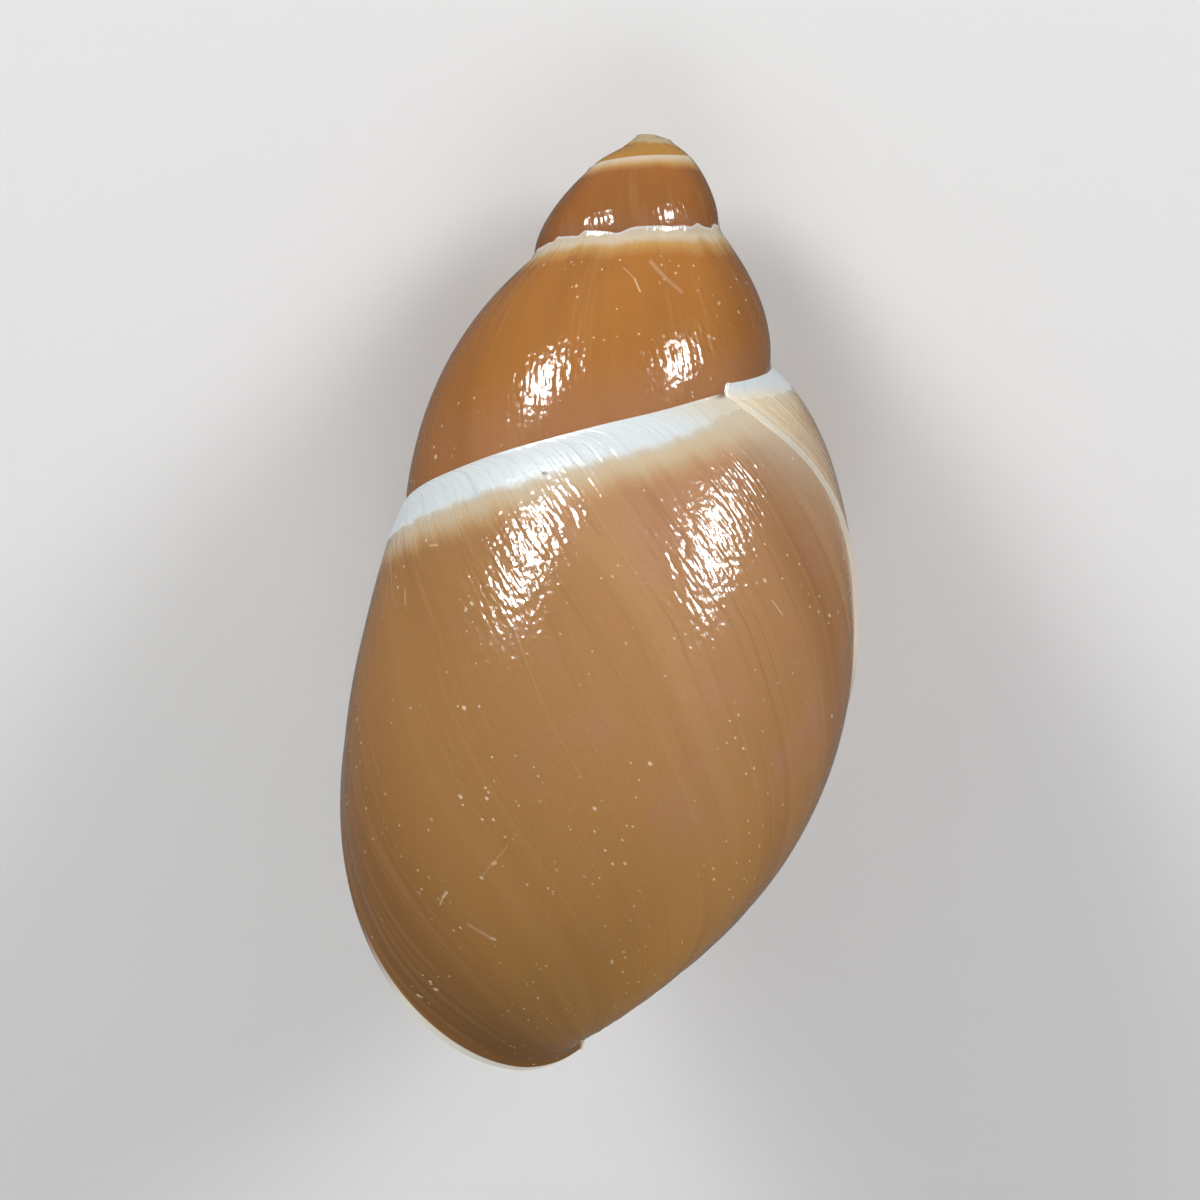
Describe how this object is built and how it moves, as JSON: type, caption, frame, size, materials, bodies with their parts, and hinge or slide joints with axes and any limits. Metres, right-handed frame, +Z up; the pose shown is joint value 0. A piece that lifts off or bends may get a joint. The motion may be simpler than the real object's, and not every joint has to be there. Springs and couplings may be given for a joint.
{
  "type": "land snail shell",
  "caption": "Empty spindle-shaped land snail shell coiled to the right, glossy brown with pale bands along the sutures, lying on its mouth side.",
  "frame": {"origin": "middle of the bounding box at the height of the flat spot that the shell rests on", "axes": "+Z up from the table through the shell's back, +Y along the shell towards the pointed tip, +X towards the side away from the mouth"},
  "size_m": [0.0326, 0.0568, 0.0342],
  "materials": {
    "shell": "glossy natural shell, tan to orange brown with bluish white bands at the sutures"
  },
  "bodies": {
    "root": {"shell": "shell"}
  },
  "joints": []
}
